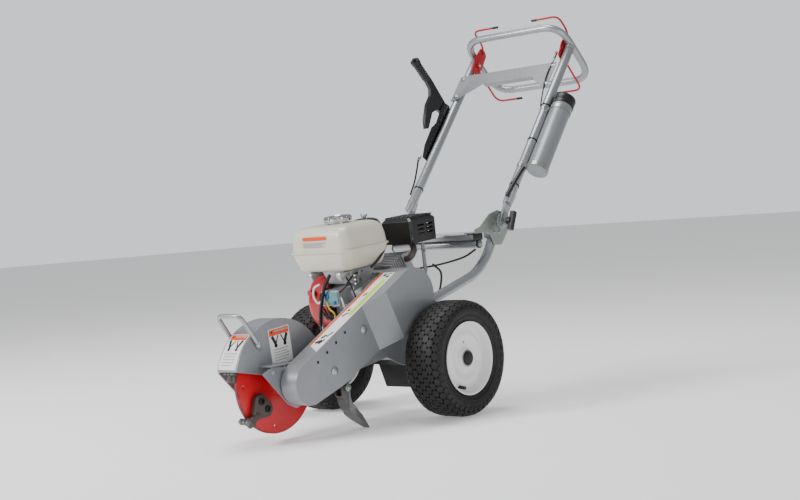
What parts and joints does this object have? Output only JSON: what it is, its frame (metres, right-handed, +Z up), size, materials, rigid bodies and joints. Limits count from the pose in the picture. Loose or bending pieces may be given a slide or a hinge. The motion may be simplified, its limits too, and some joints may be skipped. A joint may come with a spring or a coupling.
{
  "type": "walk-behind stump grinder",
  "caption": "Two-wheeled walk-behind stump grinder: petrol engine, guarded belt drive, hooded cutting disc with bolted teeth, prop foot and folding loop handle.",
  "frame": {"origin": "bottom centre of the whole machine's bounding box, on the ground", "axes": "+Z up, +Y towards the operator behind the machine, +X the machine's left (belt-guard) side"},
  "size_m": [0.6306, 1.5576, 1.2033],
  "materials": {
    "silver_paint": "satin",
    "tube_paint": "satin",
    "red_paint": "gloss",
    "black_paint": "satin",
    "black_plastic": "matte",
    "tyre_rubber": "matte",
    "flap_rubber": "matte",
    "rim_white": "gloss",
    "tank_cream": "gloss",
    "zinc": "satin",
    "chrome": "polished",
    "cast_steel": "rough",
    "engine_alloy": "cast",
    "belt": "matte"
  },
  "bodies": {
    "chassis": {"side_plate_left": "silver_paint", "side_plate_right": "silver_paint", "front_tie_bar": "silver_paint", "engine_deck": "silver_paint", "cutter_hood": "silver_paint", "guard_back_plate": "silver_paint", "belt_guard": "silver_paint", "rear_cross_tube": "tube_paint", "frame_tube_left": "tube_paint", "frame_tube_right": "tube_paint", "cross_bars": "tube_paint", "hood_handle": "tube_paint", "fan_cover": "red_paint", "muffler_guard": "black_paint", "flap_bar": "black_paint", "air_cleaner": "black_plastic", "throttle_cable": "black_plastic", "brake_cable_lower": "black_plastic", "fuel_tank": "tank_cream", "axle": "zinc", "pivot_bracket_left": "zinc", "pivot_bracket_right": "zinc", "muffler": "cast_steel", "crankcase": "engine_alloy", "cylinder": "engine_alloy", "carburettor": "engine_alloy", "drive_belt": "belt"},
    "wheel_left": {"tyre_left": "tyre_rubber", "rim_left": "rim_white"},
    "wheel_right": {"tyre_right": "tyre_rubber", "rim_right": "rim_white"},
    "cutter": {"cutter_shaft": "engine_alloy", "cutter_disc": "red_paint", "tooth_pocket_1": "cast_steel", "tooth_pocket_2": "cast_steel", "tooth_pocket_3": "cast_steel", "tooth_pocket_4": "cast_steel", "driven_pulley": "engine_alloy"},
    "crank": {"clutch_pulley": "engine_alloy", "flywheel": "engine_alloy"},
    "handle": {"handle_tube_left": "tube_paint", "handle_tube_right": "tube_paint", "ring_handle": "tube_paint", "cross_plate": "silver_paint", "canister": "silver_paint", "brake_bracket": "black_paint", "brake_cable_upper": "black_plastic"},
    "squeeze_lever_left": {"squeeze_lever_left": "red_paint"},
    "squeeze_lever_right": {"squeeze_lever_right": "red_paint"},
    "brake_lever": {"brake_lever": "black_paint"},
    "brake_button": {"brake_button": "black_plastic"},
    "canister_cap": {"canister_cap": "black_plastic"},
    "fuel_cap": {"fuel_cap": "chrome"},
    "clamp_knob_left": {"clamp_knob_left": "black_plastic"},
    "clamp_knob_right": {"clamp_knob_right": "black_plastic"},
    "prop_foot": {"prop_foot": "cast_steel"},
    "debris_flap": {"debris_flap": "flap_rubber"},
    "starter_grip": {"starter_grip": "black_plastic"},
    "engine_switch": {"engine_switch": "red_paint"}
  },
  "joints": [
    {"name": "wheel_left_spin", "type": "hinge", "parent": "chassis", "child": "wheel_left", "pos_m": [0.2533, -0.13602, 0.165], "axis": [1, 0, 0], "continuous": true},
    {"name": "wheel_right_spin", "type": "hinge", "parent": "chassis", "child": "wheel_right", "pos_m": [-0.2533, -0.13602, 0.165], "axis": [1, 0, 0], "continuous": true},
    {"name": "cutter_spin", "type": "hinge", "parent": "chassis", "child": "cutter", "pos_m": [0.008, -0.61502, 0.16], "axis": [1, 0, 0], "continuous": true},
    {"name": "crank_spin", "type": "hinge", "parent": "chassis", "child": "crank", "pos_m": [0, -0.21402, 0.345], "axis": [1, 0, 0], "continuous": true},
    {"name": "handle_fold", "type": "hinge", "parent": "chassis", "child": "handle", "pos_m": [0, 0.22198, 0.541], "axis": [1, 0, 0], "range_deg": [-12, 115]},
    {"name": "squeeze_left", "type": "hinge", "parent": "handle", "child": "squeeze_lever_left", "pos_m": [0.1802, 0.63786, 1.08197], "axis": [1, 0, 0], "range_deg": [0, 11], "stiffness_Nm_per_rad": 2, "springref_deg": -28.65},
    {"name": "squeeze_right", "type": "hinge", "parent": "handle", "child": "squeeze_lever_right", "pos_m": [-0.1802, 0.63786, 1.08197], "axis": [1, 0, 0], "range_deg": [0, 11], "stiffness_Nm_per_rad": 2, "springref_deg": -28.65},
    {"name": "brake_pull", "type": "hinge", "parent": "handle", "child": "brake_lever", "pos_m": [-0.2263, 0.48743, 0.93507], "axis": [1, 0, 0], "range_deg": [-55, 0]},
    {"name": "brake_button_press", "type": "slide", "parent": "brake_lever", "child": "brake_button", "axis": [0, 0.6875, -0.7261], "range_m": [0, 0.0045], "stiffness_N_per_m": 600, "springref_m": -0.005},
    {"name": "canister_cap_lift", "type": "slide", "parent": "handle", "child": "canister_cap", "axis": [0, 0.6347, 0.7727], "range_m": [0, 0.045]},
    {"name": "fuel_cap_turn", "type": "hinge", "parent": "chassis", "child": "fuel_cap", "pos_m": [-0.035, -0.27578, 0.58051], "axis": [0, -0.0872, 0.9962], "range_deg": [0, 120]},
    {"name": "clamp_knob_left_turn", "type": "hinge", "parent": "chassis", "child": "clamp_knob_left", "pos_m": [0.215, 0.22198, 0.541], "axis": [1, 0, 0], "range_deg": [0, 360]},
    {"name": "clamp_knob_right_turn", "type": "hinge", "parent": "chassis", "child": "clamp_knob_right", "pos_m": [-0.215, 0.22198, 0.541], "axis": [1, 0, 0], "range_deg": [0, 360]},
    {"name": "prop_foot_swing", "type": "hinge", "parent": "chassis", "child": "prop_foot", "pos_m": [0.115, -0.46402, 0.124], "axis": [1, 0, 0], "range_deg": [0, 60]},
    {"name": "debris_flap_swing", "type": "hinge", "parent": "chassis", "child": "debris_flap", "pos_m": [0, -0.07402, 0.15], "axis": [1, 0, 0], "range_deg": [0, 40]},
    {"name": "starter_pull", "type": "slide", "parent": "chassis", "child": "starter_grip", "axis": [-0.5, -0.0755, 0.8627], "range_m": [0, 0.45], "stiffness_N_per_m": 20, "springref_m": -0.5},
    {"name": "engine_switch_turn", "type": "hinge", "parent": "chassis", "child": "engine_switch", "pos_m": [-0.122, -0.31994, 0.37388], "axis": [0, 0.9962, 0.0872], "range_deg": [0, 60]}
  ],
  "couplings": [
    {"joint": "crank_spin", "follows": "cutter_spin", "ratio": 0.73077}
  ]
}
